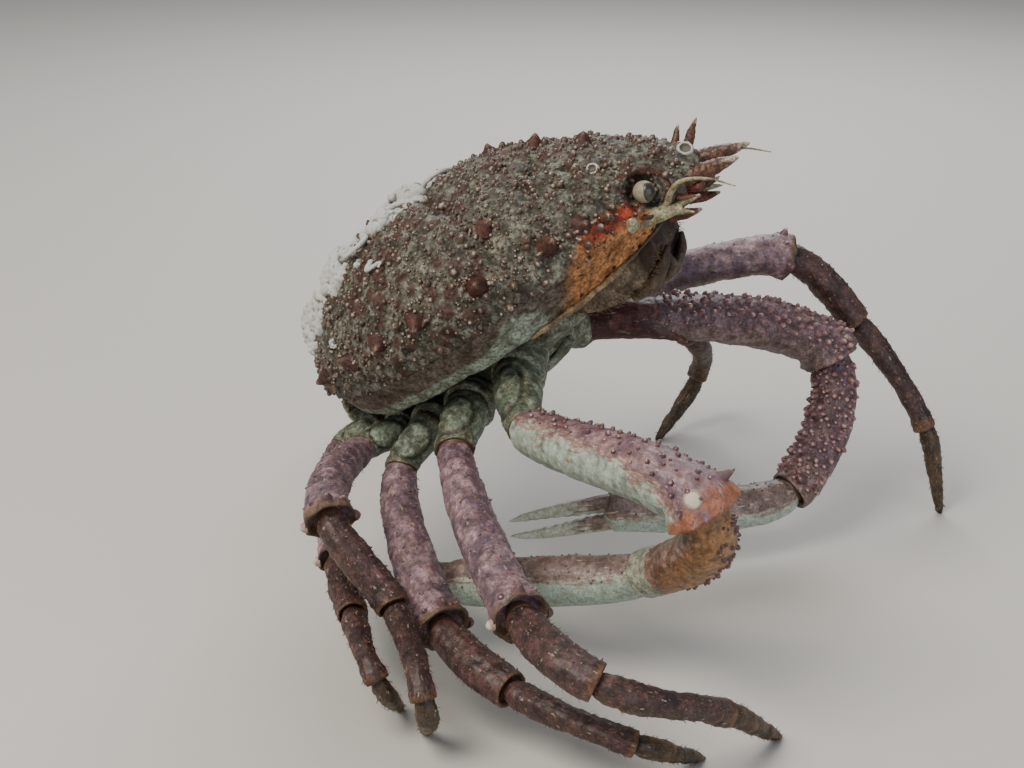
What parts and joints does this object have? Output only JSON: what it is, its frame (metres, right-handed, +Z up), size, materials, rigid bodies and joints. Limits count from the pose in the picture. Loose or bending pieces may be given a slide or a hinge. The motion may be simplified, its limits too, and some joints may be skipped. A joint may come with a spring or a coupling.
{
  "type": "spiny spider crab",
  "caption": "Life-size still model of an adult male spiny spider crab, standing with its head raised and its claws folded in front.",
  "frame": {"origin": "on the floor, at the middle of the footprint of the whole crab, legs, claws and feelers included", "axes": "+X is the way the crab faces, +Y is the crab's left, +Z is up from the floor"},
  "size_m": [0.2768, 0.3316, 0.1817],
  "materials": {
    "shell": "matt brown-grey shell with spines, silt and lime crust",
    "underside": "dull green-grey to rust shell",
    "limb": "dull maroon to mauve shell",
    "tip": "horn-brown with dark tips",
    "claw": "mauve shell with small pale spines, pale green below",
    "eye": "wet gloss",
    "feeler": "pale yellow-green to pink"
  },
  "bodies": {
    "root": {"carapace": "shell", "sternum": "underside", "abdomen": "underside", "mouth_left": "underside", "eye_left": "eye", "antenna_left": "feeler", "claw_left_base": "underside", "claw_left_merus": "claw", "claw_left_carpus": "claw", "claw_left_propodus": "claw", "claw_left_dactylus": "claw", "leg1_left_base": "underside", "leg1_left_merus": "limb", "leg1_left_carpus": "limb", "leg1_left_propodus": "limb", "leg1_left_dactylus": "tip", "leg2_left_base": "underside", "leg2_left_merus": "limb", "leg2_left_carpus": "limb", "leg2_left_propodus": "limb", "leg2_left_dactylus": "tip", "leg3_left_base": "underside", "leg3_left_merus": "limb", "leg3_left_carpus": "limb", "leg3_left_propodus": "limb", "leg3_left_dactylus": "tip", "leg4_left_base": "underside", "leg4_left_merus": "limb", "leg4_left_carpus": "limb", "leg4_left_propodus": "limb", "leg4_left_dactylus": "tip", "mouth_right": "underside", "eye_right": "eye", "antenna_right": "feeler", "claw_right_base": "underside", "claw_right_merus": "claw", "claw_right_carpus": "claw", "claw_right_propodus": "claw", "claw_right_dactylus": "claw", "leg1_right_base": "underside", "leg1_right_merus": "limb", "leg1_right_carpus": "limb", "leg1_right_propodus": "limb", "leg1_right_dactylus": "tip", "leg2_right_base": "underside", "leg2_right_merus": "limb", "leg2_right_carpus": "limb", "leg2_right_propodus": "limb", "leg2_right_dactylus": "tip", "leg3_right_base": "underside", "leg3_right_merus": "limb", "leg3_right_carpus": "limb", "leg3_right_propodus": "limb", "leg3_right_dactylus": "tip", "leg4_right_base": "underside", "leg4_right_merus": "limb", "leg4_right_carpus": "limb", "leg4_right_propodus": "limb", "leg4_right_dactylus": "tip"}
  },
  "joints": []
}
